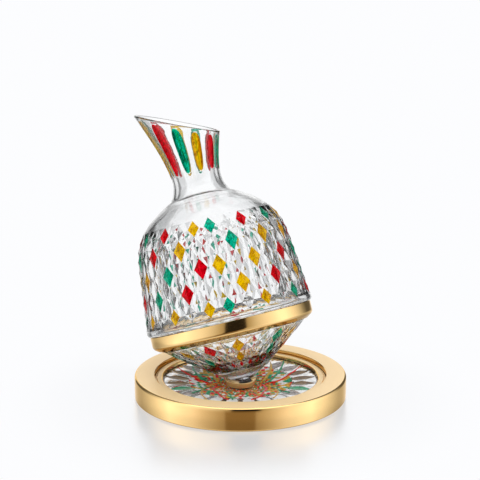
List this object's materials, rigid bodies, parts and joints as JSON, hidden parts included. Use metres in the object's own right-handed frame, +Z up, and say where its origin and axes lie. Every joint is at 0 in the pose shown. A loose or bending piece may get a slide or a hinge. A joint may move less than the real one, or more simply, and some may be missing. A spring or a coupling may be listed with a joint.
{
  "type": "wine carafe",
  "caption": "Cut crystal wine carafe with a pointed foot and a gilt belt that leans, spins and lifts out of a small cup on a gilt ring base with a glass dish.",
  "frame": {"origin": "on the table, at the middle of the felt pad's underside and on the base's axis", "axes": "+Z up along the base's axis; the picture looks along +Y with +X to its right; at rest the carafe leans towards -X and +Y"},
  "size_m": [0.1817, 0.18, 0.2333],
  "materials": {
    "gilt": "polished pale gold plating",
    "dish_glass": "cut and enamelled glass",
    "crystal": "clear polished crystal with enamelled cuts",
    "nylon": "black nylon",
    "rubber": "black rubber",
    "elastic_bond": "elastic bonding strip",
    "zinc_steel": "zinc-plated steel",
    "painted_sheet": "black painted sheet steel",
    "felt": "dense felt"
  },
  "bodies": {
    "base": {"base_ring": "gilt", "dish_bezel": "gilt", "glass_dish": "dish_glass", "dish_gasket": "rubber", "bottom_cover": "painted_sheet", "base_pad": "felt", "cover_screw_1": "zinc_steel", "cover_screw_2": "zinc_steel", "cover_screw_3": "zinc_steel", "cover_screw_4": "zinc_steel", "cover_screw_5": "zinc_steel", "cover_screw_6": "zinc_steel", "cup_washer_upper": "nylon", "cup_washer_lower": "nylon"},
    "cup": {"pivot_cup": "gilt", "cup_nut": "zinc_steel"},
    "liner": {"cup_liner": "nylon"},
    "nose": {"nose_pad": "nylon"},
    "carafe": {"carafe_glass": "crystal", "carafe_belt": "gilt", "belt_bond": "elastic_bond"}
  },
  "joints": [
    {"name": "roll_round", "type": "hinge", "parent": "base", "child": "cup", "pos_m": [0, 0, 0.0301], "axis": [0, 0, 1], "continuous": true},
    {"name": "lean", "type": "hinge", "parent": "cup", "child": "liner", "pos_m": [0, 0, 0.0301], "axis": [-0.7314, -0.682, 0], "range_deg": [-20, 0]},
    {"name": "spin", "type": "hinge", "parent": "liner", "child": "nose", "pos_m": [0, 0, 0.0301], "axis": [-0.2333, 0.2501, 0.9397], "continuous": true},
    {"name": "lift_off", "type": "slide", "parent": "nose", "child": "carafe", "axis": [-0.2333, 0.2501, 0.9397], "range_m": [0, 0.12]}
  ]
}
